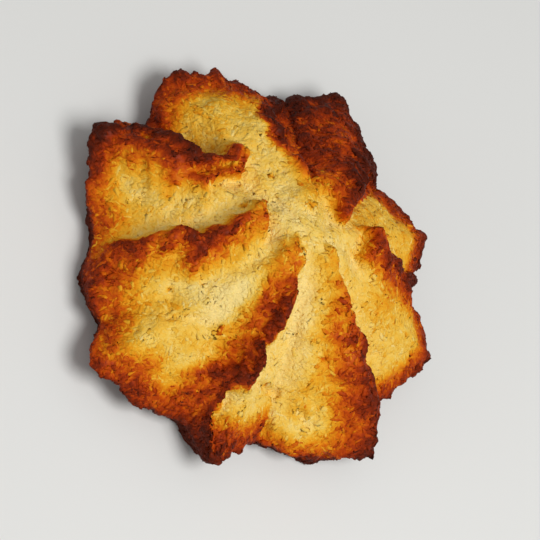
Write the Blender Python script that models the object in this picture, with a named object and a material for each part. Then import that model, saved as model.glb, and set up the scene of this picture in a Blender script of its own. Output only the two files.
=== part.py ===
# A coconut macaroon: a rosette of coconut dough, pressed out of a star nozzle with a twist and baked.
# Metres, +Z up. The flat underside lies on z = 0, and the macaroon's box is centred on the Z axis.
import math

import bmesh
import bpy
import numpy as np
from mathutils import Vector, noise

MM = 0.001

# Driving dimensions
RIM_RADIUS = 35.0 * MM  # of the lobed outline, on average
BASE_RADIUS = 31.2 * MM  # of the flat underside, on average
CREST_TOP = 26.8 * MM  # height of the crests at the eye of the swirl
GROOVE_TOP = 25.4 * MM  # height of the grooves there
LOBE_RIM = 6.8 * MM  # height of the widest point of a lobe
NOTCH_RIM = 4.0 * MM  # height of the widest point between two lobes
CREST_WIDTH = 1.2 * MM  # of the blunt top of a ridge
TIP_WIDTH = 3.4 * MM  # of that top at the ridge's tip, which is thick like a thumb
TIP_REACH = 0.09  # share of the way out over which the tip thins to the width of the crest
STEEP_REACH = 1.6 * MM  # how far the steep side of a ridge spreads beside its top
EYE = Vector((-1.6, 2.6)) * MM  # where the twisted ridges would meet
EYE_FALL = 2  # how fast the pull towards the eye dies away on the way out
SIDE_BEND = 1.35  # of both sides of a ridge: 1 is straight, more is hollow
TIP_LENGTH = 0.07  # share of the way out in which a ridge ends
TIP_START = 0.5  # share of its full height that a ridge has at its very tip
PATH_ROUNDING = 0.03  # share of the way out over which a ridge's turns are rounded off
FLANK_BEND = 0.8  # of the side under the rim: 1 is straight, less tucks in sooner
FOOT_SWELL = 0.4  # how far the underside's edge follows the lobes of the rim

# Where a face grows narrow towards the eye, its ridges keep to these shares of its width.
CREST_SHARE, STEEP_SHARE, BROAD_SHARE = 0.16, 0.2, 0.85

# The top falls from the eye to the rim by (1 - q ** bend) ** fall, where q is the share of the way out.
CREST_BEND, CREST_FALL = 1.6, 0.66
GROOVE_BEND, GROOVE_FALL = 1.05, 0.86

# The dough's unevenness: how wide its lumps and jags are, and how far they stand out.
LUMP_WIDTH, LUMP_DEPTH = 6.5 * MM, 0.9 * MM
LUMP_SIZES = 3  # each half as wide and half as deep as the one before
EVEN_HEIGHT = 4.0 * MM  # below it the lumps die away, down to the flat underside
LUMP_AIM = 12.0 * MM  # the lumps stand out along lines from a point this far below the underside
JAG_WIDTH, JAG_DEPTH = 2.2 * MM, 1.5 * MM
JAG_FADE = 6  # how fast the jags of the rim die away on the way in
CREST_JAG_TURN, CREST_JAG = 0.062, 0.3  # shares of the way out, and of the height from groove to crest
CREST_JAG_FALL = 3  # how fast those jags die away down the sides of a ridge
WOBBLE_TURN, WOBBLE_DEPTH = 0.075, 1.1 * MM  # share of the way out, and how far a crest wanders to its sides
WOBBLE_END = 0.1  # share of the way out over which that wandering dies away at the rim
WOBBLE_ASIDE = 90  # degrees between the lines through the noise for the jags and for the wandering

# How finely the surface is cut
STRIP_WIDTH = 2.2 * MM  # at the rim, on the broad side of a ridge
STEEP_STRIPS = 4  # from a crest down the steep side of its ridge
RINGS_ON_TOP = 42
RING_CROWDING = 0.8  # less crowds them more towards the rim
RINGS_ON_FLANK = 5
RINGS_UNDERNEATH = (0.9, 0.5)

# Each ridge has one steep side and one broad side, which reaches this many millimetres from its crest.
# Its path gives the crest's angle, counterclockwise from +X, at shares of the way out, from tip to rim.
RIDGES = [
    dict(steep="ccw", reach=13.0, height=0.80,
         path=[(0.08, 30), (0.20, 9), (0.40, 12), (0.60, 13), (1.0, 12)]),
    dict(steep="ccw", reach=8.0, height=1.00,
         path=[(0.40, 80), (0.46, 72), (0.60, 65), (0.85, 62), (1.0, 66)]),
    dict(steep="cw", reach=8.0, height=1.05,
         path=[(0.28, 95), (0.38, 106), (0.55, 109), (0.85, 107), (1.0, 101)]),
    dict(steep="cw", reach=11.0, height=0.70,
         path=[(0.16, 151), (0.40, 146), (0.60, 157), (0.78, 154), (1.0, 141)]),
    dict(steep="cw", reach=9.0, height=1.10,
         path=[(0.49, 187), (0.53, 190), (0.57, 187), (0.60, 187), (0.63, 194), (0.66, 201), (0.70, 199),
               (0.80, 197), (0.93, 197), (1.0, 207)]),
    dict(steep="cw", reach=9.0, height=1.10,
         path=[(0.25, 207), (0.30, 217), (0.35, 226), (0.41, 232), (0.50, 236), (0.55, 242), (0.60, 238),
               (0.66, 237), (0.75, 239), (0.85, 241), (0.93, 240), (1.0, 247)]),
    dict(steep="ccw", reach=7.0, height=1.10,
         path=[(0.10, 283), (0.18, 291), (0.24, 306), (0.31, 311), (0.36, 314), (0.45, 313), (0.60, 309),
               (0.66, 315), (0.71, 312), (0.76, 307), (0.86, 306), (0.93, 309), (1.0, 317)]),
]

# A lobe of the outline swells from the notch before it to its corner, and falls back to the next notch.
# Angles in degrees and distances from the middle in millimetres. A side whose bend is 1 is straight, one
# below 1 is fuller and one above 1 is hollow.
LOBES = [
    dict(notch=20, low=32.4, corner=43, high=37.4, swell=0.8, fall=0.9),
    dict(notch=62, low=32.0, corner=79, high=37.0, swell=0.9, fall=0.8),
    dict(notch=98, low=32.4, corner=124, high=39.6, swell=1.0, fall=0.6),
    dict(notch=139, low=32.7, corner=181, high=37.6, swell=0.7, fall=0.7),
    dict(notch=191, low=31.9, corner=208, high=38.5, swell=0.9, fall=1.5),
    dict(notch=239, low=30.8, corner=275, high=38.0, swell=1.6, fall=0.9),
    dict(notch=305, low=30.4, corner=318, high=36.6, swell=1.3, fall=1.0),
    dict(notch=335, low=29.0, corner=9, high=38.2, swell=0.7, fall=0.8),
]

# Where the rim stands out further or is nipped in: the angle, how many millimetres out, and how far the
# bump spreads, in degrees either way. FEET gives in the same way where the underside's burnt edge spreads.
RIM_BUMPS = [(173, 0.6, 8), (210, 0.8, 4), (264, -2.3, 5), (274, 0.9, 3), (290, 0.6, 3), (314, 1.2, 4),
             (355, -1.7, 6), (9, 0.7, 2.5)]
FEET = [(28, 1.2, 7), (96, 1.6, 7), (150, 1.0, 7), (222, 0.6, 8), (248, 1.8, 6), (312, 1.0, 6),
        (356, 4.4, 7)]


def clear_scene():
    for thing in list(bpy.data.objects):
        bpy.data.objects.remove(thing)


def ease(t):
    t = min(max(t, 0.0), 1.0)
    return t * t * (3.0 - 2.0 * t)


def polar(angle, radius):
    turn = math.radians(angle)
    return Vector((math.cos(turn), math.sin(turn))) * radius


def lobe_at(angle):
    """The lobe at this angle, how full it is there (0 at a notch, 1 at its corner) and the notch's low."""
    for lobe, after in zip(LOBES, LOBES[1:] + LOBES[:1]):
        to_corner = (lobe["corner"] - lobe["notch"]) % 360
        to_end = (after["notch"] - lobe["notch"]) % 360
        along = (angle - lobe["notch"]) % 360
        if along < to_corner:
            return lobe, (along / to_corner) ** lobe["swell"], lobe["low"]
        if along < to_end:
            return lobe, ((to_end - along) / (to_end - to_corner)) ** lobe["fall"], after["low"]
    raise ValueError("the lobes leave a gap")


def spread_at(places, angle):
    """How far the bumps at these places stand out at this angle."""
    turns = [((angle - place + 180) % 360 - 180) / turn for place, _, turn in places]
    return sum(out * MM * math.exp(-(turn**2)) for turn, (_, out, _) in zip(turns, places))


def outline(angle):
    """The widest point of the side at this angle: its distance from the middle, the jag there, its height."""
    lobe, fullness, low = lobe_at(angle)
    radius = (low + (lobe["high"] - low) * fullness) * MM + spread_at(RIM_BUMPS, angle)
    jag = noise.noise(polar(angle, radius).to_3d() / JAG_WIDTH) * JAG_DEPTH
    return radius, jag, NOTCH_RIM + (LOBE_RIM - NOTCH_RIM) * fullness


def ridge_angle(ridge, q):
    """Where the ridge's crest lies, q of the way out from the eye: on its path, with the corners rounded
    off, and wandering a little to either side."""
    shares, angles = zip(*ridge["path"])
    aside = noise.noise(polar(angles[0] + WOBBLE_ASIDE, q).to_3d() / WOBBLE_TURN) * WOBBLE_DEPTH
    bend = math.degrees(aside * ease((1.0 - q) / WOBBLE_END) / (BASE_RADIUS * q))
    return float(np.mean(np.interp((q - PATH_ROUNDING, q, q + PATH_ROUNDING), shares, angles))) + bend


def half_crest(ridge, q, width):
    """Half the width of the ridge's blunt top, which grows towards its tip."""
    tip = ridge["path"][0][0]
    grown = math.exp(-(((q - tip) / TIP_REACH) ** 2))
    half = (CREST_WIDTH + (TIP_WIDTH - CREST_WIDTH) * grown) / 2
    return min(half, CREST_SHARE * width)


def raised_by(ridge, side, q, distance, width):
    """How far a ridge's clockwise or counterclockwise side raises a face of this width above its groove,
    as a share of the way up to the crest envelope. The crest is jagged, and the ridge ends at its tip."""
    tip, start = ridge["path"][0]
    if side == ridge["steep"]:
        reach = min(STEEP_REACH, STEEP_SHARE * width)
    else:
        reach = min(ridge["reach"] * MM, BROAD_SHARE * width)
    beside = max(distance - half_crest(ridge, q, width), 0.0)
    up = (1.0 - min(beside / reach, 1.0)) ** SIDE_BEND
    jag = noise.noise(polar(start, q).to_3d() / CREST_JAG_TURN) * CREST_JAG * ease((q - tip) / TIP_LENGTH)
    return (ridge["height"] * up + jag * up**CREST_JAG_FALL) * ease((q - tip) / TIP_LENGTH + TIP_START)


def strips(ridge, after, q, count, width):
    """How far each strip of the face between two ridges lies from the first crest, where it's this wide."""
    steep = min(STEEP_REACH, STEEP_SHARE * width)
    start = half_crest(ridge, q, width) + steep if ridge["steep"] == "ccw" else 0.0
    end = width - half_crest(after, q, width) - steep if after["steep"] == "cw" else width
    marks = list(np.linspace(0.0, start, STEEP_STRIPS, endpoint=False)) if start else []
    marks += list(np.linspace(start, end, count, endpoint=False))
    marks += list(np.linspace(end, width, STEEP_STRIPS, endpoint=False)) if end < width else []
    return marks


def face_ring(ridge, after, q):
    """The points of one face, q of the way out, from the ridge's crest to just before the next crest."""
    start = ridge_angle(ridge, q)
    turn = (ridge_angle(after, q) - start) % 360
    rim_turn = (ridge_angle(after, 1.0) - ridge_angle(ridge, 1.0)) % 360
    count = round(math.radians(rim_turn) * BASE_RADIUS / STRIP_WIDTH)
    width = math.radians(turn) * BASE_RADIUS * q
    points = []
    for distance in strips(ridge, after, q, count, width):
        angle = start + turn * distance / width
        radius, jag, rim = outline(angle % 360)
        crest = rim + (CREST_TOP - rim) * (1.0 - q**CREST_BEND) ** CREST_FALL
        groove = rim + (GROOVE_TOP - rim) * (1.0 - q**GROOVE_BEND) ** GROOVE_FALL
        raised = raised_by(ridge, "ccw", q, distance, width)
        raised += raised_by(after, "cw", q, width - distance, width)
        flat = polar(angle, (radius + jag * q**JAG_FADE) * q) + EYE * (1.0 - q) ** EYE_FALL
        points.append(Vector((flat.x, flat.y, groove + (crest - groove) * raised)))
    return points


def top_ring(q):
    faces = [face_ring(ridge, after, q) for ridge, after in zip(RIDGES, RIDGES[1:] + RIDGES[:1])]
    return [point for face in faces for point in face]


def flank_ring(rim_ring, down):
    """The points of the side below the rim. down is 0 at the rim and 1 at the underside's edge."""
    points = []
    for point in rim_ring:
        radius = math.hypot(point.x, point.y)
        angle = math.degrees(math.atan2(point.y, point.x))
        foot = BASE_RADIUS + FOOT_SWELL * (radius - RIM_RADIUS) + spread_at(FEET, angle)
        share = (radius + (foot - radius) * down**FLANK_BEND) / radius
        points.append(Vector((point.x * share, point.y * share, point.z * (1.0 - down))))
    return points


def lumpy(point):
    """The point moved in or out by the dough's lumps, which die away towards the flat underside."""
    lump = noise.fractal(point / LUMP_WIDTH, 1.0, 2.0, LUMP_SIZES)
    outward = (point + Vector((0, 0, LUMP_AIM))).normalized()
    return point + outward * (lump * LUMP_DEPTH * ease(point.z / EVEN_HEIGHT))


def add_ring(mesh, points):
    return [mesh.verts.new(point) for point in points]


def join_rings(mesh, outer, inner):
    for i in range(len(outer)):
        j = (i + 1) % len(outer)
        mesh.faces.new((outer[i], outer[j], inner[j], inner[i]))


def close_ring(mesh, ring, middle):
    for i in range(len(ring)):
        mesh.faces.new((ring[i], ring[(i + 1) % len(ring)], middle))


def macaroon_mesh():
    mesh = bmesh.new()
    top = [top_ring((ring / RINGS_ON_TOP) ** RING_CROWDING) for ring in range(RINGS_ON_TOP, 0, -1)]
    flank = [flank_ring(top[0], step / RINGS_ON_FLANK) for step in range(RINGS_ON_FLANK, 0, -1)]
    rings = [add_ring(mesh, points) for points in flank + top]
    for lower, upper in zip(rings, rings[1:]):
        join_rings(mesh, lower, upper)
    peak = sum((vert.co for vert in rings[-1]), Vector()) / len(rings[-1])
    close_ring(mesh, rings[-1], mesh.verts.new(peak))
    for vert in mesh.verts:
        vert.co = lumpy(vert.co)
    under = rings[0]
    for share in RINGS_UNDERNEATH:
        inner = add_ring(mesh, [(vert.co.x * share, vert.co.y * share, 0.0) for vert in rings[0]])
        join_rings(mesh, inner, under)
        under = inner
    close_ring(mesh, under[::-1], mesh.verts.new((0, 0, 0)))
    return mesh


def centre_on_axis(mesh):
    """Moves the mesh so that the box round it is centred on the Z axis."""
    xs = [vert.co.x for vert in mesh.verts]
    ys = [vert.co.y for vert in mesh.verts]
    middle = Vector(((max(xs) + min(xs)) / 2, (max(ys) + min(ys)) / 2, 0.0))
    bmesh.ops.translate(mesh, verts=mesh.verts, vec=-middle)


def baked_dough():
    material = bpy.data.materials.new("baked_dough")
    material.use_nodes = True
    shader = material.node_tree.nodes["Principled BSDF"]
    shader.inputs["Base Color"].default_value = (0.62, 0.30, 0.06, 1.0)
    shader.inputs["Roughness"].default_value = 0.6
    shader.inputs["Metallic"].default_value = 0.0
    return material


def make_macaroon():
    mesh = macaroon_mesh()
    centre_on_axis(mesh)
    bmesh.ops.recalc_face_normals(mesh, faces=mesh.faces)
    data = bpy.data.meshes.new("macaroon")
    mesh.to_mesh(data)
    mesh.free()
    data.shade_smooth()
    data.materials.append(baked_dough())
    macaroon = bpy.data.objects.new("macaroon", data)
    bpy.context.scene.collection.objects.link(macaroon)
    return macaroon


clear_scene()
make_macaroon()
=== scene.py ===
# The looks of a baked coconut macaroon: a piped rosette with browned folds, rim and base.
# Lengths in this script are in millimetres unless a line says otherwise, and angles are in degrees.
import math

import bpy
import numpy as np
from mathutils import Matrix, Vector, bvhtree, kdtree, noise


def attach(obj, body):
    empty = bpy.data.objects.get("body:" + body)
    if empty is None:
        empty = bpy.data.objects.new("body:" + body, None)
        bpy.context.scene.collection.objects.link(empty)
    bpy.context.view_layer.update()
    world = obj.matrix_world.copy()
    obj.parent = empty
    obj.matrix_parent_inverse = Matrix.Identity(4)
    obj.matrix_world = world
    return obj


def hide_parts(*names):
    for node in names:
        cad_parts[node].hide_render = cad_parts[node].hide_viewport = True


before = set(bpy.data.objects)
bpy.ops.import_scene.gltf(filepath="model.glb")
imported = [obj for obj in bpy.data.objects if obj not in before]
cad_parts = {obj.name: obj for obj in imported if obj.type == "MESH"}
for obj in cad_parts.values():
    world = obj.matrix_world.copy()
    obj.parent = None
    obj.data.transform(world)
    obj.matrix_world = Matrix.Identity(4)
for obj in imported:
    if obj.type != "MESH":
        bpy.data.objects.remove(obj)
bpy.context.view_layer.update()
metresPerMm = 0.001

# The camera looks down on the side at -Y, rolled so that the top of the picture lies towards -X.
view = {
    "elevation": 57,
    "roll": 25,  # how far the swirl's far side is turned up from the right of the picture
    "lens": 200,
    "distance": 524,
    "nearest": 10,
    "centre": (0.5, 0.8, 11.0),
}


# Places the camera and returns its directions: to its right, to its top and back towards it.
def placeCamera():
    tilt = math.radians(90 - view["elevation"])
    roll = math.radians(view["roll"])
    away = Vector((0, math.cos(tilt), math.sin(tilt)))
    towards = Vector((0, -math.sin(tilt), math.cos(tilt)))
    right = away * math.cos(roll) + Vector((1, 0, 0)) * math.sin(roll)
    up = away * math.sin(roll) - Vector((1, 0, 0)) * math.cos(roll)
    camera = bpy.data.objects.new("camera", bpy.data.cameras.new("camera"))
    camera.data.lens = view["lens"]
    camera.data.clip_start = view["nearest"] * metresPerMm
    place = (Vector(view["centre"]) + towards * view["distance"]) * metresPerMm
    camera.matrix_world = Matrix.Translation(place) @ Matrix((right, up, towards)).transposed().to_4x4()
    bpy.context.scene.collection.objects.link(camera)
    bpy.context.scene.camera = camera
    return right, up, towards


# What presses the dough. q is the share of the way out from the eye of the swirl to the rim.
rosette = {
    "rimRadius": 35.0,
    "baseRadius": 31.2,
    "crestTop": 26.8,
    "grooveTop": 25.4,
    "lobeRim": 6.8,  # height of the widest point of a lobe
    "notchRim": 4.0,  # and of the widest point between two lobes
    "eye": Vector((-1.6, 2.6)),
    "eyeFall": 2,  # how fast the shift of the eye dies away on the way out
    "crestFall": (1.6, 0.66),  # the crests fall by (1 - q ** first) ** second
    "grooveFall": (1.05, 0.86),
    "crestWidth": 1.2,
    "tipWidth": 3.4,  # a fold's end is thicker, like a thumb
    "tipReach": 0.09,  # share of the way out over which that dies away
    "steepReach": 1.6,
    "sideBend": 1.35,  # 1 makes the sides of a fold straight, and more hollows them
    "tipLength": 0.07,  # share of the way out over which a fold rises from its tip
    "pathRounding": 0.03,  # and over which the turns of its crest are rounded, either way
    "narrowShares": (0.16, 0.2, 0.85),  # of a narrow face's width, for crest, steep side and broad side
    "flankBend": 0.8,  # less draws the side in sooner below the rim
    "footSwell": 0.4,  # how far the foot follows the lobes of the rim
    "lumpWidth": 6.5,
    "lumpDepth": 0.9,
    "lumpLayers": 3,
    "evenHeight": 4.0,  # below this height the lumps die away
    "lumpAim": 12.0,  # the lumps stand out along lines from a point this far below the underside
    "jagWidth": 2.2,
    "jagDepth": 1.5,
    "jagFade": 6,  # how fast the jags of the rim die away on the way in
    "tipStart": 0.5,  # share of its full height that a fold has at its very tip
    "crestJag": (0.062, 0.3),  # share of the way out, and of the height from groove to crest
    "crestJagFall": 3,  # how fast those jags die away down the sides of a fold
    "crestWobble": (0.075, 1.1),  # share of the way out, and how far a crest wanders to its sides
    "wobbleEnd": 0.1,  # share of the way out over which that dies away at the rim
    "wobbleAside": 90,  # angle in the noise between a crest's jags and its wandering
}

# One entry for each fold: its steep side, how far its broad side reaches, its height, and where its crest
# lies from tip to rim: share of the way out and angle. Then how wide the browning spreads down its broad
# side, at tip and rim, and behind it, down its steep side, and how dark the crest is at these shares.
folds = [
    {"steep": "ccw", "reach": 13.0, "height": 0.80,
     "path": [(0.08, 30), (0.20, 9), (0.40, 12), (0.60, 13), (1.0, 12)],
     "band": (8.5, 8.5), "behind": 1.6,
     "burns": [(0.08, 0.15), (0.20, 0.30), (0.40, 0.50), (0.60, 0.75), (1.0, 0.90)]},
    {"steep": "ccw", "reach": 8.0, "height": 1.00,
     "path": [(0.40, 80), (0.46, 72), (0.60, 65), (0.85, 62), (1.0, 66)],
     "band": (6.0, 7.5), "behind": 1.6,
     "burns": [(0.40, 0.5), (0.46, 0.6), (0.60, 0.70), (0.85, 0.75)]},
    {"steep": "cw", "reach": 8.0, "height": 1.05,
     "path": [(0.28, 95), (0.38, 106), (0.55, 109), (0.85, 107), (1.0, 101)],
     "band": (6.0, 7.5), "behind": 1.6,
     "burns": [(0.28, 0.5), (0.38, 0.6), (0.55, 0.72), (0.85, 0.8)]},
    # The dark of this fold's crest and of its steep side, spread 8 mm down, is partly browning and partly
    # painted shadow cast by a neighbouring macaroon.
    {"steep": "cw", "reach": 11.0, "height": 0.70,
     "path": [(0.16, 151), (0.40, 146), (0.60, 157), (0.78, 154), (1.0, 141)],
     "band": (2.6, 2.6), "behind": 8.0,
     "burns": [(0.16, 0.1), (0.40, 0.36), (0.60, 0.86), (0.78, 0.96), (1.0, 0.92)]},
    {"steep": "cw", "reach": 9.0, "height": 1.10,
     "path": [(0.49, 187), (0.53, 190), (0.57, 187), (0.60, 187), (0.63, 194), (0.66, 201), (0.70, 199),
              (0.80, 197), (0.93, 197), (1.0, 207)],
     "band": (8.5, 10.5), "behind": 1.6,
     "burns": [(0.49, 0.45), (0.57, 0.56), (0.66, 0.83), (0.93, 0.84), (1.0, 0.78)]},
    {"steep": "cw", "reach": 9.0, "height": 1.10,
     "path": [(0.25, 207), (0.30, 217), (0.35, 226), (0.41, 232), (0.50, 236), (0.55, 242), (0.60, 238),
              (0.66, 237), (0.75, 239), (0.85, 241), (0.93, 240), (1.0, 247)],
     "band": (6.5, 10.0), "behind": 1.6,
     "burns": [(0.25, 0.37), (0.35, 0.47), (0.43, 0.60), (0.50, 0.74), (0.58, 0.88), (0.67, 0.66),
               (1.0, 0.30)]},
    {"steep": "ccw", "reach": 7.0, "height": 1.10,
     "path": [(0.10, 283), (0.18, 291), (0.24, 306), (0.31, 311), (0.36, 314), (0.45, 313), (0.60, 309),
              (0.66, 315), (0.71, 312), (0.76, 307), (0.86, 306), (0.93, 309), (1.0, 317)],
     "band": (5.0, 10.5), "behind": 1.6,
     "burns": [(0.10, 0.42), (0.18, 0.45), (0.27, 0.58), (0.36, 0.66), (0.60, 0.77), (0.72, 0.82),
               (1.0, 0.50)]},
]

# How the oven's browning starts out, before the crumb takes it up unevenly.
browning = {
    "edgeWidth": 0.45,  # the thin line along the top of a steep side, partly burnt edge and partly painted shadow under the crest
    "edgeBurnAndShade": 0.35,
    "widestShare": 0.75,  # a band beside a crest takes no more of its face's width
    "tipStart": 0.7,  # more browns a fold nearer to its tip
    "bandFall": (2, 1.5),  # a band fades by (1 - share ** first) ** second
    "centre": 0.14,
    "centreEnd": 0.2,  # share of the way out at which a lobe's own tone begins
    "centreFade": 0.4,  # and over which it takes over
    "flank": (0.82, 0.30),  # at the rim, and how much more at the underside's edge
    "underside": (0.62, 0.36),  # in the middle, and how much more at the edge
    "undersideFall": 4,  # more keeps that closer to the edge
}

# One entry for each lobe of the rim, from the notch before it: the radius at that notch and at the lobe's
# corner, how its outline swells and falls, how dark its edge is baked, how far in, and its face's tone.
lobes = [
    {"notch": 20, "low": 32.4, "corner": 43, "high": 37.4, "swell": 0.8, "fall": 0.9,
     "edge": 0.70, "band": 6, "face": 0.20},
    {"notch": 62, "low": 32.0, "corner": 79, "high": 37.0, "swell": 0.9, "fall": 0.8,
     "edge": 0.75, "band": 7, "face": 0.26},
    # This lobe's dark face and edge are partly browning and partly painted shadow cast by a neighbouring
    # macaroon.
    {"notch": 98, "low": 32.4, "corner": 124, "high": 39.6, "swell": 1.0, "fall": 0.6,
     "edge": 0.85, "band": 9, "face": 0.72},
    {"notch": 139, "low": 32.7, "corner": 181, "high": 37.6, "swell": 0.7, "fall": 0.7,
     "edge": 0.72, "band": 7.5, "face": 0.20},
    # The dark of this lobe's edge is partly browning and partly painted shade where the edge turns down.
    {"notch": 191, "low": 31.9, "corner": 208, "high": 38.5, "swell": 0.9, "fall": 1.5,
     "edge": 0.56, "band": 6.0, "face": 0.14},
    {"notch": 239, "low": 30.8, "corner": 275, "high": 38.0, "swell": 1.6, "fall": 0.9,
     "edge": 0.68, "band": 10, "face": 0.06},
    {"notch": 305, "low": 30.4, "corner": 318, "high": 36.6, "swell": 1.3, "fall": 1.0,
     "edge": 0.72, "band": 7, "face": 0.08},
    {"notch": 335, "low": 29.0, "corner": 9, "high": 38.2, "swell": 0.7, "fall": 0.8,
     "edge": 0.54, "band": 4, "face": 0.04},
]

# Where the rim stands out or is nipped in: the angle, how far out, and how many degrees either way.
rimBumps = [(173, 0.6, 8), (210, 0.8, 4), (264, -2.3, 5), (274, 0.9, 3), (290, 0.6, 3), (314, 1.2, 4),
            (355, -1.7, 6), (9, 0.7, 2.5)]

# Where the burnt edge of the underside spreads out, in the same way.
feet = [(28, 1.2, 7), (96, 1.6, 7), (150, 1.0, 7), (222, 0.6, 8), (248, 1.8, 6), (312, 1.0, 6),
        (356, 4.4, 7)]

# How finely the pressed form is cut before it is evened out.
cut = {
    "stripWidth": 0.65,
    "steepStrips": 9,
    "topRings": 120,
    "flankRings": 18,
    "underRings": 24,
    "crowding": 0.8,  # less crowds the rings on top more towards the rim
}
voxel = 0.385  # width of the even mesh's cells


def ease(t):
    t = min(max(t, 0.0), 1.0)
    return t * t * (3.0 - 2.0 * t)


def polar(angle, radius):
    turn = math.radians(angle)
    return Vector((math.cos(turn), math.sin(turn))) * radius


# The lobe at an angle, how full it is there, from 0 at a notch to 1 at its corner, and the notch's radius.
def lobeAt(angle):
    for lobe, after in zip(lobes, lobes[1:] + lobes[:1]):
        toCorner = (lobe["corner"] - lobe["notch"]) % 360
        toEnd = (after["notch"] - lobe["notch"]) % 360
        along = (angle - lobe["notch"]) % 360
        if along < toCorner:
            return lobe, (along / toCorner) ** lobe["swell"], lobe["low"]
        if along < toEnd:
            return lobe, ((toEnd - along) / (toEnd - toCorner)) ** lobe["fall"], after["low"]


# How far all the bumps, or all the feet, together stand out at an angle.
def spreadAt(places, angle):
    total = 0.0
    for place, out, reach in places:
        aside = ((angle - place + 180) % 360 - 180) / reach
        total += out * math.exp(-(aside**2))
    return total


# The rim at an angle: its radius, its jag, its height and its lobe.
def outlineAt(angle):
    lobe, fullness, low = lobeAt(angle)
    radius = low + (lobe["high"] - low) * fullness
    radius += spreadAt(rimBumps, angle)
    jag = noise.noise(polar(angle, radius).to_3d() / rosette["jagWidth"]) * rosette["jagDepth"]
    height = rosette["notchRim"] + (rosette["lobeRim"] - rosette["notchRim"]) * fullness
    return radius, jag, height, lobe


# The angle at which a fold's crest lies, q of the way out. It wanders a little to its sides.
def crestAngle(fold, q):
    shares, angles = zip(*fold["path"])
    reach = rosette["pathRounding"]
    wobbleTurn, wobble = rosette["crestWobble"]
    aside = noise.noise(polar(angles[0] + rosette["wobbleAside"], q).to_3d() / wobbleTurn) * wobble
    aside *= ease((1.0 - q) / rosette["wobbleEnd"])
    bend = math.degrees(aside / (rosette["baseRadius"] * q))
    return float(np.mean(np.interp((q - reach, q, q + reach), shares, angles))) + bend


# Half the width of a crest, which grows towards the fold's tip.
def halfCrest(fold, q, width):
    grown = math.exp(-(((q - fold["path"][0][0]) / rosette["tipReach"]) ** 2))
    half = (rosette["crestWidth"] + (rosette["tipWidth"] - rosette["crestWidth"]) * grown) / 2
    return min(half, rosette["narrowShares"][0] * width)


# How far a fold raises a point beside it, as a share of the way from groove to crest.
def raisedBy(fold, side, q, distance, width):
    tip, start = fold["path"][0]
    _, steepShare, broadShare = rosette["narrowShares"]
    if side == fold["steep"]:
        reach = min(rosette["steepReach"], steepShare * width)
    else:
        reach = min(fold["reach"], broadShare * width)
    beside = max(distance - halfCrest(fold, q, width), 0.0)
    up = (1.0 - min(beside / reach, 1.0)) ** rosette["sideBend"]
    jagTurn, jagHeight = rosette["crestJag"]
    jag = noise.noise(polar(start, q).to_3d() / jagTurn) * jagHeight * ease((q - tip) / rosette["tipLength"])
    risen = ease((q - tip) / rosette["tipLength"] + rosette["tipStart"])
    return (fold["height"] * up + jag * up ** rosette["crestJagFall"]) * risen


# How much a fold's crest browns a point beside it, with a thin line of painted shadow under the crest on its
# steep side.
def bakedBy(fold, side, q, distance, width):
    tip = fold["path"][0][0]
    steep = side == fold["steep"]
    reach = fold["behind"] if steep else float(np.interp(q, (tip, 1.0), fold["band"]))
    fade = bandFade(distance / min(reach, browning["widestShare"] * width))
    # Just past the crest on the steep side a thin line darkens further: partly burnt edge, partly painted
    # shadow under the crest.
    if steep:
        past = (distance - halfCrest(fold, q, width)) / browning["edgeWidth"]
        fade = 1.0 - (1.0 - fade) * (1.0 - browning["edgeBurnAndShade"] * math.exp(-(past**2)))
    burn = float(np.interp(q, *zip(*fold["burns"])))
    return burn * fade * ease((q - tip) / rosette["tipLength"] + browning["tipStart"])


# A browned band is even at first and fades softly towards its end, at 1.
def bandFade(share):
    bend, fall = browning["bandFall"]
    return max(1.0 - share**bend, 0.0) ** fall


# How far from the first crest the points of one face lie. They crowd on the steep sides.
def stripDistances(fold, after, q, count, width):
    steep = min(rosette["steepReach"], rosette["narrowShares"][1] * width)
    start = halfCrest(fold, q, width) + steep if fold["steep"] == "ccw" else 0.0
    end = width - halfCrest(after, q, width) - steep if after["steep"] == "cw" else width
    marks = list(np.linspace(0.0, start, cut["steepStrips"], endpoint=False)) if start else []
    marks += list(np.linspace(start, end, count, endpoint=False))
    marks += list(np.linspace(end, width, cut["steepStrips"], endpoint=False)) if end < width else []
    return marks


# How high the top still is, q of the way down from the eye to the rim.
def domeHeight(top, rim, q, bends):
    bend, fall = bends
    return rim + (top - rim) * (1.0 - q**bend) ** fall


# The points of one face between two folds, q of the way out, each with how much it is baked.
def faceRing(fold, after, q):
    start = crestAngle(fold, q)
    turn = (crestAngle(after, q) - start) % 360
    rimTurn = (crestAngle(after, 1.0) - crestAngle(fold, 1.0)) % 360
    count = round(math.radians(rimTurn) * rosette["baseRadius"] / cut["stripWidth"])
    width = math.radians(turn) * rosette["baseRadius"] * q
    points = []
    for distance in stripDistances(fold, after, q, count, width):
        angle = start + turn * distance / width
        radius, jag, rim, lobe = outlineAt(angle % 360)
        crest = domeHeight(rosette["crestTop"], rim, q, rosette["crestFall"])
        groove = domeHeight(rosette["grooveTop"], rim, q, rosette["grooveFall"])
        raised = raisedBy(fold, "ccw", q, distance, width)
        raised += raisedBy(after, "cw", q, width - distance, width)
        flat = polar(angle, (radius + jag * q ** rosette["jagFade"]) * q)
        flat += rosette["eye"] * (1.0 - q) ** rosette["eyeFall"]
        pale = 1.0 - faceTone(lobe, q)
        pale *= 1.0 - lobe["edge"] * bandFade((1.0 - q) * radius / lobe["band"])
        pale *= 1.0 - bakedBy(fold, "ccw", q, distance, width)
        pale *= 1.0 - bakedBy(after, "cw", q, width - distance, width)
        points.append((flat.x, flat.y, groove + (crest - groove) * raised, 1.0 - pale))
    return points


# The tone of a lobe's face, away from crests and rim.
def faceTone(lobe, q):
    outside = ease((q - browning["centreEnd"]) / browning["centreFade"])
    return browning["centre"] + (lobe["face"] - browning["centre"]) * outside


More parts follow.
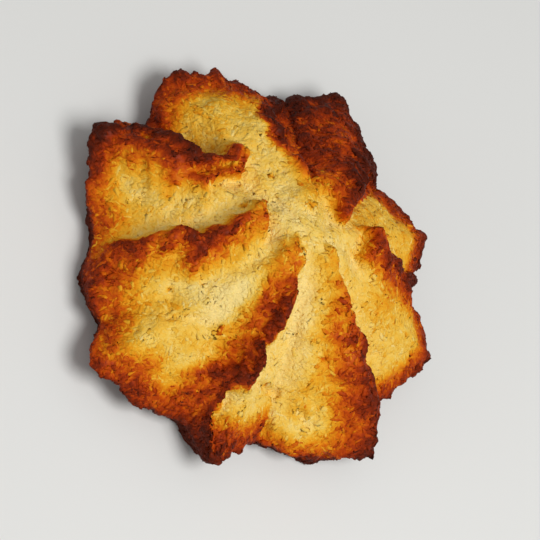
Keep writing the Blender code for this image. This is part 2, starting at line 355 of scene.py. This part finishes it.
# A ring around the side, this share of the way down from the rim to the underside's edge.
def flankRing(rimRing, down):
    points = []
    atRim, more = browning["flank"]
    for x, y, z, baked in rimRing:
        radius = math.hypot(x, y)
        foot = rosette["baseRadius"] + rosette["footSwell"] * (radius - rosette["rimRadius"])
        foot += spreadAt(feet, math.degrees(math.atan2(y, x)))
        share = (radius + (foot - radius) * down ** rosette["flankBend"]) / radius
        points.append((x * share, y * share, z * (1.0 - down), max(baked, atRim + more * down)))
    return points


# The pressed form as one closed mesh, before any crumb, and how much each of its points is baked.
def pressDough():
    pairs = list(zip(folds, folds[1:] + folds[:1]))
    shares = [(ring / cut["topRings"]) ** cut["crowding"] for ring in range(cut["topRings"], 0, -1)]
    top = [[point for fold, after in pairs for point in faceRing(fold, after, q)] for q in shares]
    flank = [flankRing(top[0], step / cut["flankRings"]) for step in range(cut["flankRings"], 0, -1)]
    middle, more = browning["underside"]
    under = []
    for step in range(1, cut["underRings"]):
        share = step / cut["underRings"]
        tone = middle + more * share ** browning["undersideFall"]
        under.append([(x * share, y * share, 0.0, tone) for x, y, _, _ in flank[0]])
    rings = np.array(under + flank + top)
    count = rings.shape[1]
    points = rings.reshape(-1, 4)
    ends = np.vstack([(0.0, 0.0, 0.0, middle), rings[-1].mean(axis=0)])
    points = np.vstack([points, ends])
    low, high = len(points) - 2, len(points) - 1
    faces = []
    for ring in range(len(rings) - 1):
        outer, inner = ring * count, (ring + 1) * count
        for i in range(count):
            j = (i + 1) % count
            faces.append((outer + i, outer + j, inner + j, inner + i))
    last = (len(rings) - 1) * count
    faces += [(low, (i + 1) % count, i) for i in range(count)]
    faces += [(last + i, last + (i + 1) % count, high) for i in range(count)]
    mesh = bpy.data.meshes.new("pressedDough")
    mesh.from_pydata(points[:, :3].tolist(), [], faces)
    return mesh, points[:, 3]


def coordinates(mesh):
    flat = np.empty(len(mesh.vertices) * 3)
    mesh.vertices.foreach_get("co", flat)
    return flat.reshape(-1, 3)


def vertexNormals(mesh):
    flat = np.empty(len(mesh.vertices) * 3)
    mesh.vertex_normals.foreach_get("vector", flat)
    return flat.reshape(-1, 3)


def setCoordinates(mesh, points):
    mesh.vertices.foreach_set("co", points.astype(np.float32).ravel())
    mesh.update()


# Noise with finer noise upon it, in layers that are each half as wide as the one before.
def layered(place, layers):
    return noise.fractal(place, 1.0, 2.0, layers)


# The same lumps as the solid's, which leave the underside flat.
def swellLumps(mesh):
    points = coordinates(mesh)
    lumps = np.array([layered(Vector(p) / rosette["lumpWidth"], rosette["lumpLayers"]) for p in points])
    fade = np.clip(points[:, 2] / rosette["evenHeight"], 0, 1)
    fade = fade * fade * (3 - 2 * fade)
    outward = points + (0, 0, rosette["lumpAim"])
    outward /= np.linalg.norm(outward, axis=1)[:, None]
    setCoordinates(mesh, points + outward * (lumps * fade * rosette["lumpDepth"])[:, None])


# The solid has the middle of its box on the axis, and so has this.
def centreOnAxis(mesh):
    points = coordinates(mesh)
    middle = (points.max(axis=0) + points.min(axis=0)) / 2
    middle[2] = 0.0
    setCoordinates(mesh, points - middle)


# Every cell of the surface the same size, so that crumb lies on it evenly.
def evenOut(mesh):
    thing = bpy.data.objects.new("evening", mesh)
    bpy.context.scene.collection.objects.link(thing)
    remesh = thing.modifiers.new("even", "REMESH")
    remesh.mode = "VOXEL"
    remesh.voxel_size = voxel
    remesh.use_smooth_shade = True
    even = bpy.data.meshes.new_from_object(thing.evaluated_get(bpy.context.evaluated_depsgraph_get()))
    bpy.data.objects.remove(thing)
    even.name = "macaroonDough"
    return even


# Each point of the even mesh is baked as much as the nearest point of the pressed form.
def carryBaking(pressed, baked, mesh):
    points = coordinates(pressed)
    tree = kdtree.KDTree(len(points))
    for i, p in enumerate(points):
        tree.insert(p, i)
    tree.balance()
    return np.array([baked[tree.find(p)[1]] for p in coordinates(mesh)])


# How the crumb stands out: width and height of its grains, of the crags on crests and rim, and so on.
crumb = {
    "grains": [(1.9, 0.17), (1.05, 0.11)],
    "grainReach": 0.62,  # how far a grain reaches from its middle, as a share of its width
    "sizePlace": 7.3,  # spreads the grains' middles through the noise that gives each its size
    "crags": (2.3, 0.5),
    "cragLayers": 2,
    "paleCrags": 0.25,  # share of the crags' height that pale crumb has
    "pits": (5.2, 0.5, 0.45),  # spacing, radius and depth
    "cracks": (8.0, 0.020, 0.30),  # spacing, width as a share of it, and depth
    "crackAreas": (11.0, 3.0),  # spacing of the areas that crack, and how sharply they begin
    "bottom": (1.2, 0.10),  # below this height the crumb is pressed flat, and how hollow it is there
    "hollows": (0.6, 1.5),  # share of that hollow where the crumb is level, and more for each mm it rises
    "hollowEnds": (0.1, 1.6),  # the least and the largest share
}

# Each pattern reads the noise in a place of its own.
apart = {
    "cracks": Vector((5.1, 2.3, 8.7)),
    "crackAreas": Vector((1.7, 9.2, 3.3)),
    "patches": Vector((3.1, 0, 0)),
    "mottle": Vector((0, 8.4, 0)),
}

# Creases and pits that stand alone, in plan from end to end, with their width and depth, and how much darker
# they are, which is painted shade in the hollow. They show only where the surface faces up by this much.
facingUp = 0.2
marks = [
    {"ends": ((0.3, -23.5), (4.9, -16.8)), "width": 0.9, "depth": 0.9, "tone": 0.02},
    {"ends": ((-5.7, -16.6), (2.3, -16.2)), "width": 0.5, "depth": 0.45, "tone": 0.05},
    {"ends": ((17.6, -13.4), (20.3, -8.5)), "width": 0.6, "depth": 0.9, "tone": 0.12},
    {"ends": ((24.8, -6.0), (27.9, -4.4)), "width": 0.6, "depth": 0.6, "tone": 0.05},
    {"ends": ((-25.6, -14.7), (-20.3, -16.5)), "width": 0.7, "depth": 0.5, "tone": 0.05},
    {"ends": ((-22.4, -12.4), (-18.3, -13.7)), "width": 0.6, "depth": 0.4, "tone": 0.05},
    {"ends": ((-11.4, -4.9), (-11.4, -4.9)), "width": 0.4, "depth": 0.7, "tone": 0.6},
    {"ends": ((-3.6, -20.8), (-3.6, -20.8)), "width": 0.4, "depth": 0.8, "tone": 0.7},
    {"ends": ((4.5, -13.1), (4.5, -13.1)), "width": 0.38, "depth": 0.7, "tone": 0.4},
    {"ends": ((18.5, -10.8), (18.5, -10.8)), "width": 0.42, "depth": 0.8, "tone": 0.7},
    {"ends": ((18.4, -1.0), (18.4, -1.0)), "width": 0.42, "depth": 0.7, "tone": 0.6},
    {"ends": ((-14.0, 3.7), (-14.0, 3.7)), "width": 0.4, "depth": 0.6, "tone": 0.6},
]

# Soft patches that are baked more or less than their surroundings: where in plan, how far each spreads,
# and how much darker it is.
patches = [
    (-1.1, -22.3, 3.2, 0.26),
    (1.6, -26.2, 2.5, 0.10),
    (1.8, -14.1, 4.0, -0.14),
    (-29.9, -0.1, 4.5, 0.14),
    (9.9, -1.5, 3.0, -0.20),
    (22.0, -1.6, 4.5, 0.26),
    (22.0, -11.2, 4.0, 0.08),
    (28.5, 2.8, 4.0, 0.50),
    (-17.6, -19.6, 4.5, 0.18),
    (-8.0, 2.0, 5.0, -0.08),
    (10.0, -33.2, 4.5, 0.45),
    (1.5, -35.7, 4.0, -0.28),
    (-13.2, -24.7, 4.0, -0.30),
    (-2.8, -12.0, 4.0, 0.20),
    (6.4, -8.7, 3.5, 0.28),
    (-22.0, -22.7, 4.5, -0.04),
    (14.0, 15.8, 4.0, 0.16),
    (-6.0, 17.8, 4.0, 0.14),
    (-16.0, -10.7, 4.0, 0.03),
    (-20.5, -8.0, 3.0, 0.62),
    (-20.0, 17.6, 5.0, 0.60),
    (-32.0, -17.7, 4.0, 0.60),
    (-30.1, 9.7, 4.0, 0.28),
    (23.6, -21.8, 4.5, 0.48),
    (24.6, -5.8, 3.0, 0.22),
    (6.2, -22.0, 3.0, 0.24),
    (2.3, -11.2, 3.5, -0.22),
    (6.1, 0.0, 3.0, -0.25),
    (11.5, -27.0, 5.0, -0.34),
    (5.8, -26.6, 2.4, 0.26),
    (-29.0, 16.8, 3.5, 0.25),
    (-22.3, -13.0, 4.5, -0.12),
    (-22.0, 7.9, 3.0, -0.12),
]


# Each grain is a low dome, and its size is by chance anything from none to full.
def grainHeight(p, width):
    distances, centres = noise.voronoi(p / width)
    size = (1 + noise.cell(centres[0] * crumb["sizePlace"])) / 2
    return size * max(0.0, 1.0 - (distances[0] / crumb["grainReach"]) ** 2)


# How far the crumb stands out at a point that is baked this much.
def crumbHeight(p, baked):
    pitSpacing, pitRadius, pitDepth = crumb["pits"]
    crackSpacing, crackWidth, crackDepth = crumb["cracks"]
    areaSpacing, sharpness = crumb["crackAreas"]
    cragWidth, cragHeight = crumb["crags"]
    rise = sum(high * grainHeight(p, width) for width, high in crumb["grains"])
    rise += cragHeight * (crumb["paleCrags"] + baked) * layered(p / cragWidth, crumb["cragLayers"])
    distance = noise.voronoi(p / pitSpacing)[0][0] * pitSpacing
    rise -= pitDepth * math.exp(-((distance / pitRadius) ** 2))
    crack = abs(noise.noise(p / crackSpacing + apart["cracks"]))
    here = ease(sharpness * noise.noise(p / areaSpacing + apart["crackAreas"]))
    return rise - crackDepth * here * math.exp(-((crack / crackWidth) ** 2))


# How near each point is to a mark, from 0 to 1.
def nearMark(points, normals, mark):
    start, end = (np.array(place) for place in mark["ends"])
    along = end - start
    flat = points[:, :2] - start
    square = along @ along
    share = np.clip(flat @ along / square, 0, 1) if square else np.zeros(len(points))
    distance = np.linalg.norm(flat - share[:, None] * along, axis=1)
    return np.exp(-((distance / mark["width"]) ** 2)) * (normals[:, 2] > facingUp)


# Raises the crumb, presses in the marks, and adds the marks' painted shade and what the patches do to how
# the dough is baked.
def raiseCrumb(mesh, baked):
    points = coordinates(mesh)
    normals = vertexNormals(mesh)
    height = np.array([crumbHeight(Vector(point), tone) for point, tone in zip(points, baked)])
    for mark in marks:
        height -= mark["depth"] * nearMark(points, normals, mark)
    bottomHeight, bottomHollow = crumb["bottom"]
    level, more = crumb["hollows"]
    above = np.clip(points[:, 2] / bottomHeight, 0, 1)
    hollow = bottomHollow * np.clip(level + more * height, *crumb["hollowEnds"])
    moved = points + normals * (height * above - hollow * (1 - above))[:, None]
    moved[:, 2] = np.maximum(moved[:, 2], 0.0)
    setCoordinates(mesh, moved)
    # The darkening of creases and pits is painted shade.
    for mark in marks:
        baked += mark["tone"] * nearMark(points, normals, mark)
    for x, y, spread, tone in patches:
        away = np.hypot(points[:, 0] - x, points[:, 1] - y)
        baked += tone * np.exp(-((away / spread) ** 2)) * (1.0 - np.clip(baked, 0, 1))


# How far each point stands out from its neighbours, at a scale that grows with each smoothing.
def bulge(mesh, rounds):
    edges = np.empty(len(mesh.edges) * 2, dtype=np.int64)
    mesh.edges.foreach_get("vertices", edges)
    a, b = edges.reshape(-1, 2).T
    points = coordinates(mesh)
    smooth = points.copy()
    count = np.bincount(a, minlength=len(points)) + np.bincount(b, minlength=len(points))
    for _ in range(rounds):
        total = np.zeros_like(smooth)
        np.add.at(total, a, smooth[b])
        np.add.at(total, b, smooth[a])
        smooth = 0.5 * smooth + 0.5 * total / count[:, None]
    return ((points - smooth) * vertexNormals(mesh)).sum(axis=1)


# What the oven does: folds and rim brown first, then whatever stands out, and hollows stay pale.
baking = {
    "patches": 0.12,
    "patchWidth": 7.0,
    "patchLayers": 2,
    "mottle": 0.08,
    "mottleWidth": 1.6,
    "grainTips": 0.6,  # how much darker for each mm that a grain stands out
    "grainRounds": 4,  # rounds of smoothing that wipe the grains out
    "grainMost": 0.12,  # what stands out further counts as this
    "lumpTips": 0.30,
    "lumpRounds": 40,
    "lumpMost": 0.4,
    "paleCrumb": 0.25,  # share of all these changes that pale crumb takes
    "darkest": 0.85,
    "held": 0.6,  # share that is held back of what would be darker than that
}


def bake(mesh, baked):
    points = [Vector(p) for p in coordinates(mesh)]
    broad = [layered(p / baking["patchWidth"] + apart["patches"], baking["patchLayers"]) for p in points]
    fine = [noise.noise(p / baking["mottleWidth"] + apart["mottle"]) for p in points]
    room = baking["paleCrumb"] + np.clip(baked, 0, 1)
    tone = baked + baking["patches"] * np.array(broad) * room + baking["mottle"] * np.array(fine) * room
    for kind in ("grain", "lump"):
        most = baking[kind + "Most"]
        standing = np.clip(bulge(mesh, baking[kind + "Rounds"]), -most, most)
        tone += baking[kind + "Tips"] * standing * room
    over = np.maximum(tone - np.maximum(baking["darkest"], baked), 0.0)
    return np.clip(tone - baking["held"] * over, 0.0, 1.0)


def storeTone(mesh, name, values):
    mesh.attributes.new(name, "FLOAT", "POINT").data.foreach_set("value", values.astype(np.float32))


# The colour of the dough as it bakes, from pale crumb to burnt, as red, green and blue of the screen.
bakedColours = [
    (0.00, (246, 220, 144)),
    (0.15, (241, 202, 92)),
    (0.30, (235, 176, 42)),
    (0.44, (227, 144, 16)),
    (0.55, (212, 105, 6)),
    (0.66, (190, 72, 3)),
    (0.77, (158, 49, 3)),
    (0.88, (114, 34, 4)),
    (1.00, (62, 18, 5)),
]


# A colour of the screen as the light that it stands for, by the screen's standard curve.
def screenColour(red, green, blue):
    def linear(value):
        value /= 255
        return value / 12.92 if value <= 0.04045 else ((value + 0.055) / 1.055) ** 2.4
    return linear(red), linear(green), linear(blue), 1.0


def addNode(tree, kind, **values):
    node = tree.nodes.new(kind)
    for name, value in values.items():
        setattr(node, name, value)
    return node


def addMath(tree, operation, first, second):
    node = addNode(tree, "ShaderNodeMath", operation=operation)
    for socket, value in zip(node.inputs, (first, second)):
        if isinstance(value, (int, float)):
            socket.default_value = value
        else:
            tree.links.new(value, socket)
    return node.outputs[0]


# How the surface takes the light. Pairs run from pale crumb to browned crumb.
surface = {
    "specks": {"Scale": 1900, "Detail": 3},  # fine noise by which the tone varies
    "mottle": 0.2,
    "tones": (0.15, 0.75),
    "roughness": (0.78, 0.6),
    "shine": (0.0, 0.04),
    "grainsPerMetre": 1700,  # in the bump, which is finer than the mesh
    "grainSoftness": 0.4,
    "grainDepth": 0.8,
    "fineDetail": 4,
    "fineShare": 1.7,  # how many times finer the noise upon the grains is
    "bump": {"Strength": 0.6, "Distance": 0.0003},  # metres
    "steady": {
        "Coat Roughness": 0.25,
        "Specular IOR Level": 0.08,
        "Subsurface Weight": 0.06,
        "Subsurface Radius": (1.0, 0.6, 0.25),
        "Subsurface Scale": 0.0015,  # metres
    },
}


def setInputs(node, values):
    for name, value in values.items():
        node.inputs[name].default_value = value


# Turns how much a point is baked into its colour, its roughness and how much it shines.
def bakedToneGroup():
    group = bpy.data.node_groups.new("bakedTone", "ShaderNodeTree")
    group.interface.new_socket("Baked", in_out="INPUT", socket_type="NodeSocketFloat")
    group.interface.new_socket("Mottle", in_out="INPUT", socket_type="NodeSocketFloat")
    group.interface.new_socket("Colour", in_out="OUTPUT", socket_type="NodeSocketColor")
    group.interface.new_socket("Roughness", in_out="OUTPUT", socket_type="NodeSocketFloat")
    group.interface.new_socket("Shine", in_out="OUTPUT", socket_type="NodeSocketFloat")
    inside = addNode(group, "NodeGroupInput")
    outside = addNode(group, "NodeGroupOutput")
    place = addNode(group, "ShaderNodeTexCoord").outputs["Object"]
    specks = addNode(group, "ShaderNodeTexNoise")
    setInputs(specks, surface["specks"])
    group.links.new(place, specks.inputs["Vector"])
    centred = addMath(group, "SUBTRACT", specks.outputs["Fac"], 0.5)
    strength = addMath(group, "MULTIPLY", centred, inside.outputs["Mottle"])
    tone = addMath(group, "ADD", inside.outputs["Baked"], strength)
    ramp = addNode(group, "ShaderNodeValToRGB")
    ramp.color_ramp.interpolation = "B_SPLINE"
    while len(ramp.color_ramp.elements) < len(bakedColours):
        ramp.color_ramp.elements.new(0.5)
    for element, (share, colour) in zip(ramp.color_ramp.elements, bakedColours):
        element.position = share
        element.color = screenColour(*colour)
    group.links.new(tone, ramp.inputs["Fac"])
    group.links.new(ramp.outputs["Color"], outside.inputs["Colour"])
    pale, browned = surface["tones"]
    for name, (low, high) in (("Roughness", surface["roughness"]), ("Shine", surface["shine"])):
        spread = addNode(group, "ShaderNodeMapRange")
        setInputs(spread, {"From Min": pale, "From Max": browned, "To Min": low, "To Max": high})
        group.links.new(tone, spread.inputs["Value"])
        group.links.new(spread.outputs["Result"], outside.inputs[name])
    return group


# Fine grain that is too small for the mesh, as the height of a bump.
def coconutGrainGroup():
    group = bpy.data.node_groups.new("coconutGrain", "ShaderNodeTree")
    group.interface.new_socket("Grains per metre", in_out="INPUT", socket_type="NodeSocketFloat")
    group.interface.new_socket("Height", in_out="OUTPUT", socket_type="NodeSocketFloat")
    inside = addNode(group, "NodeGroupInput")
    outside = addNode(group, "NodeGroupOutput")
    place = addNode(group, "ShaderNodeTexCoord").outputs["Object"]
    cells = addNode(group, "ShaderNodeTexVoronoi", feature="SMOOTH_F1")
    cells.inputs["Smoothness"].default_value = surface["grainSoftness"]
    group.links.new(place, cells.inputs["Vector"])
    group.links.new(inside.outputs["Grains per metre"], cells.inputs["Scale"])
    fine = addNode(group, "ShaderNodeTexNoise")
    fine.inputs["Detail"].default_value = surface["fineDetail"]
    group.links.new(place, fine.inputs["Vector"])
    scale = addMath(group, "MULTIPLY", inside.outputs["Grains per metre"], surface["fineShare"])
    group.links.new(scale, fine.inputs["Scale"])
    depth = addMath(group, "MULTIPLY", cells.outputs["Distance"], surface["grainDepth"])
    height = addMath(group, "SUBTRACT", fine.outputs["Fac"], depth)
    group.links.new(height, outside.inputs["Height"])
    return group


groups = {"tone": bakedToneGroup(), "grain": coconutGrainGroup()}


def bakedDough():
    material = bpy.data.materials.new("bakedDough")
    material.use_nodes = True
    tree = material.node_tree
    shader = tree.nodes["Principled BSDF"]
    baked = addNode(tree, "ShaderNodeAttribute", attribute_name="baked")
    tone = addNode(tree, "ShaderNodeGroup", node_tree=groups["tone"])
    tone.inputs["Mottle"].default_value = surface["mottle"]
    grain = addNode(tree, "ShaderNodeGroup", node_tree=groups["grain"])
    grain.inputs["Grains per metre"].default_value = surface["grainsPerMetre"]
    bump = addNode(tree, "ShaderNodeBump")
    setInputs(bump, surface["bump"])
    setInputs(shader, surface["steady"])
    tree.links.new(baked.outputs["Fac"], tone.inputs["Baked"])
    tree.links.new(tone.outputs["Colour"], shader.inputs["Base Color"])
    tree.links.new(tone.outputs["Roughness"], shader.inputs["Roughness"])
    tree.links.new(tone.outputs["Shine"], shader.inputs["Coat Weight"])
    tree.links.new(grain.outputs["Height"], bump.inputs["Height"])
    tree.links.new(bump.outputs["Normal"], shader.inputs["Normal"])
    return material


groups["dough"] = bakedDough()


def makeDough():
    pressed, baked = pressDough()
    swellLumps(pressed)
    centreOnAxis(pressed)
    print("pressed the dough:", len(pressed.vertices), "points")
    mesh = evenOut(pressed)
    baked = carryBaking(pressed, baked, mesh)
    print("evened it out:", len(mesh.loop_triangles), "triangles")
    raiseCrumb(mesh, baked)
    storeTone(mesh, "baked", bake(mesh, baked))
    mesh.transform(Matrix.Scale(metresPerMm, 4))
    mesh.shade_smooth()
    mesh.materials.append(groups["dough"])
    showPiece("macaroonDough", mesh)
    print("baked it")
    return mesh


def showPiece(name, mesh):
    piece = bpy.data.objects.new(name, mesh)
    bpy.context.scene.collection.objects.link(piece)
    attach(piece, "root")
    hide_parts("macaroon")


# Desiccated coconut in the dough: fine threads and broader flakes, pressed into the surface in all
# directions. Where the dough is browned, one end of a shred stands up.
shreds = {
    "kinds": [
        {"name": "coconutThreads", "under": False, "count": 9000,
         "length": (0.8, 1.9), "width": (0.20, 0.38)},
        {"name": "coconutFlakes", "under": False, "count": 5000,
         "length": (1.0, 2.5), "width": (0.38, 0.66)},
        {"name": "flattenedFlakes", "under": True, "count": 3000,
         "length": (1.0, 2.6), "width": (0.30, 0.60)},
    ],
    # Place along a shred, with the share of its full width and height there.
    "profile": [(-0.5, 0.35, 0.1), (-0.22, 1.0, 1.0), (0.22, 1.0, 1.0), (0.5, 0.35, 0.1)],
    "proud": 0.21,  # share of a shred's width that it stands out
    "sunk": 0.09,  # how far its edges lie below the surface
    "slant": 0.1,  # keeps a shred's direction off the straight line out of the dough
    "bend": 0.25,  # how much the shreds vary in their bend
    "bendLevel": 0.1,  # share of the bend by which the whole shred is moved back
    "lift": 0.30,  # rise of the end that stands up, for each millimetre of length
    "liftTones": (0.25, 0.75),  # none below the first tone, and all of it above the second
    "strayTone": 0.09,
    "strayShares": (0.2, 2.8),  # of it, first + second * tone * (1 - tone) shows
    "endTone": 0.03,  # how much darker the ends of a shred are
    "lowest": 1.0,  # below this height they are pressed flat
    "seed": 11,
}


# One shred as rows of three points across it, laid on the dough from the point where it starts, and how
# much each row is baked.
def shredRows(dough, tree, points, tone, start, kind, draw):
    baked = tone[start]
    level, full = shreds["liftTones"]
    least, more = shreds["strayShares"]
    length, width = draw.uniform(*kind["length"]), draw.uniform(*kind["width"])
    turn, bend = draw.uniform(0, 2 * math.pi), draw.normal(0, shreds["bend"])
    lift = draw.uniform(0, shreds["lift"]) * ease((baked - level) / (full - level))
    shade = draw.normal(0, shreds["strayTone"]) * (least + more * baked * (1 - baked))
    normal = Vector(dough.vertex_normals[start].vector)
    along = Vector((math.cos(turn), math.sin(turn), shreds["slant"])).cross(normal).normalized()
    aside = normal.cross(along)
    for place, wide, high in shreds["profile"]:
        reach = place * length
        curve = bend * (place**2 - shreds["bendLevel"]) * length
        spot, up, face, _ = tree.find_nearest(Vector(points[start]) + along * reach + aside * curve)
        across = up.cross(along).normalized() * (width * wide)
        top = spot + up * (shreds["proud"] * width * high + max(lift * reach, 0.0))
        foot = spot - up * shreds["sunk"]
        end = shreds["endTone"] * (1.0 - high)
        yield (foot - across, top, foot + across), tone[dough.polygons[face].vertices[0]] + shade + end


# The sides and both ends of a shred whose points run from first to last.
def shredFaces(first, last):
    faces = []
    for a in range(first, last - 2, 3):
        faces += [(a + i, a + 3 + i, a + 3 + (i + 1) % 3, a + (i + 1) % 3) for i in range(3)]
    return faces + [(first, first + 1, first + 2), (last, last - 1, last - 2)]


def layShreds(dough):
    points = coordinates(dough) / metresPerMm
    tone = np.empty(len(points))
    dough.attributes["baked"].data.foreach_get("value", tone)
    tree = bvhtree.BVHTree.FromPolygons(points.tolist(), [face.vertices[:] for face in dough.polygons])
    draw = np.random.default_rng(shreds["seed"])
    for kind in shreds["kinds"]:
        vertices, faces, tones = [], [], []
        where = np.flatnonzero((points[:, 2] < shreds["lowest"]) == kind["under"])
        for start in draw.choice(where, kind["count"], replace=False):
            first = len(vertices)
            for row, baked in shredRows(dough, tree, points, tone, start, kind, draw):
                vertices += row
                tones += [baked] * len(row)
            faces += shredFaces(first, len(vertices) - 1)
        mesh = bpy.data.meshes.new(kind["name"])
        mesh.from_pydata([(v.x, v.y, max(v.z, 0.0)) for v in vertices], [], faces)
        mesh.transform(Matrix.Scale(metresPerMm, 4))
        mesh.shade_smooth()
        storeTone(mesh, "baked", np.clip(np.array(tones), 0, 1))
        mesh.materials.append(groups["dough"])
        showPiece(kind["name"], mesh)
        print("laid", kind["name"], len(mesh.loop_triangles), "triangles")


# The studio: a pale floor and soft lights. A light's direction from the middle of the picture is given to
# the right, up and towards the camera.
studio = {
    "floorColour": (222, 222, 219),
    "floorSize": 4000,
    "floorRoughness": 0.6,
    "floorDrop": 0.05,
    "sky": 0.34,
    "lights": [
        {"name": "key", "from": (0.75, -0.1, 1.0), "distance": 520, "size": 300, "power": 2.0},
        {"name": "fill", "from": (-0.9, -0.1, 0.8), "distance": 560, "size": 500, "power": 0.5},
    ],
}


def makeFloor():
    size = studio["floorSize"] * metresPerMm / 2
    mesh = bpy.data.meshes.new("floor")
    corners = [(-size, -size, 0), (size, -size, 0), (size, size, 0), (-size, size, 0)]
    mesh.from_pydata(corners, [], [(0, 1, 2, 3)])
    material = bpy.data.materials.new("paleFloor")
    material.use_nodes = True
    shader = material.node_tree.nodes["Principled BSDF"]
    shader.inputs["Base Color"].default_value = screenColour(*studio["floorColour"])
    shader.inputs["Roughness"].default_value = studio["floorRoughness"]
    mesh.materials.append(material)
    floor = bpy.data.objects.new("floor", mesh)
    floor.location.z = -studio["floorDrop"] * metresPerMm
    bpy.context.scene.collection.objects.link(floor)


def makeLights(right, up, towards):
    centre = Vector(view["centre"])
    for light in studio["lights"]:
        across, above, before = light["from"]
        direction = (right * across + up * above + towards * before).normalized()
        lamp = bpy.data.lights.new(light["name"], "AREA")
        lamp.shape = "DISK"
        lamp.size = light["size"] * metresPerMm
        lamp.energy = light["power"]
        thing = bpy.data.objects.new(light["name"], lamp)
        thing.location = (centre + direction * light["distance"]) * metresPerMm
        thing.rotation_mode = "QUATERNION"
        thing.rotation_quaternion = direction.to_track_quat("Z", "Y")
        bpy.context.scene.collection.objects.link(thing)
    world = bpy.data.worlds.new("studio")
    world.use_nodes = True
    background = world.node_tree.nodes["Background"]
    setInputs(background, {"Color": (1.0, 1.0, 1.0, 1.0), "Strength": studio["sky"]})
    bpy.context.scene.world = world
    bpy.context.scene.view_settings.view_transform = "Standard"


sides = placeCamera()
makeFloor()
makeLights(*sides)
print("set up the studio")
layShreds(makeDough())
